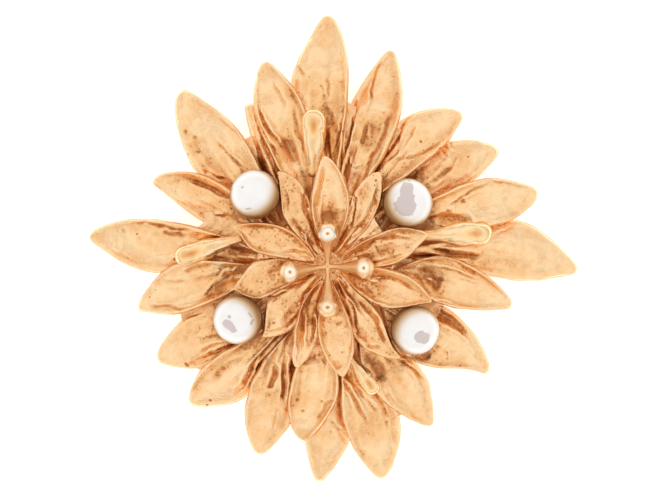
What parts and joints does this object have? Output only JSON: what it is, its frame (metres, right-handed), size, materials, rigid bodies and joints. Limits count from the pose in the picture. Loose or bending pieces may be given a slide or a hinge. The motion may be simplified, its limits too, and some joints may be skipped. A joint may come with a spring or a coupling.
{
  "type": "flower brooch",
  "caption": "Flower brooch with two layers of cast gold petals, pearls on posts, buds and stamens, and a hinged pin stem closed by a catch with a rotating safety sleeve",
  "frame": {"origin": "middle of the brooch's outline, at the level of the surface it rests on", "axes": "+Z out of the face towards the viewer, +X to the right and +Y up as the brooch is seen from the front; the pin lies along +X under the flower"},
  "size_m": [0.0602, 0.0576, 0.0142],
  "materials": {
    "petal_gold": "satin gold with brushed and pitted texture",
    "rosette_gold": "satin gold, polished on the rims and stippled in the hollows",
    "bud_gold": "pale polished gold",
    "stamen_gold": "pale gold with bright polished silvery tips",
    "pearl": "pearl lustre with worn patches",
    "back_gold": "satin cast gold",
    "finding_gold": "polished gold plating"
  },
  "bodies": {
    "flower": {"back_plate": "back_gold", "hub": "rosette_gold", "outer_petal_01": "petal_gold", "outer_petal_02": "petal_gold", "outer_petal_03": "petal_gold", "outer_petal_04": "petal_gold", "outer_petal_05": "petal_gold", "outer_petal_06": "petal_gold", "outer_petal_07": "petal_gold", "outer_petal_08": "petal_gold", "outer_petal_09": "petal_gold", "outer_petal_10": "petal_gold", "outer_petal_11": "petal_gold", "outer_petal_12": "petal_gold", "outer_petal_13": "petal_gold", "outer_petal_14": "petal_gold", "outer_petal_15": "petal_gold", "outer_petal_16": "petal_gold", "outer_petal_17": "petal_gold", "outer_petal_18": "petal_gold", "outer_petal_19": "petal_gold", "outer_petal_20": "petal_gold", "outer_petal_21": "petal_gold", "inner_petal_01": "rosette_gold", "inner_petal_02": "rosette_gold", "inner_petal_03": "rosette_gold", "inner_petal_04": "rosette_gold", "inner_petal_05": "rosette_gold", "inner_petal_06": "rosette_gold", "inner_petal_07": "rosette_gold", "inner_petal_08": "rosette_gold", "inner_petal_09": "rosette_gold", "inner_petal_10": "rosette_gold", "inner_petal_11": "rosette_gold", "bud_top": "bud_gold", "bud_right": "bud_gold", "bud_bottom": "bud_gold", "bud_left": "bud_gold", "stamen_top": "stamen_gold", "stamen_right": "stamen_gold", "stamen_bottom": "stamen_gold", "stamen_left": "stamen_gold", "pearl_upper_right": "pearl", "pearl_lower_right": "pearl", "pearl_lower_left": "pearl", "pearl_upper_left": "pearl", "pearl_post_upper_right": "back_gold", "pearl_post_lower_right": "back_gold", "pearl_post_lower_left": "back_gold", "pearl_post_upper_left": "back_gold", "hinge_bracket": "finding_gold", "hinge_rivet": "finding_gold", "catch_body": "finding_gold"},
    "pin": {"pin_stem": "finding_gold"},
    "safety_sleeve": {"catch_sleeve": "finding_gold"}
  },
  "joints": [
    {"name": "pin_hinge", "type": "hinge", "parent": "flower", "child": "pin", "pos_m": [-0.0125, 0.0028, 0.0022], "axis": [0, 1, 0], "range_deg": [0, 80]},
    {"name": "sleeve_turn", "type": "hinge", "parent": "flower", "child": "safety_sleeve", "pos_m": [0.0102, 0.0028, 0.0022], "axis": [-1, 0, 0], "range_deg": [0, 90]}
  ]
}
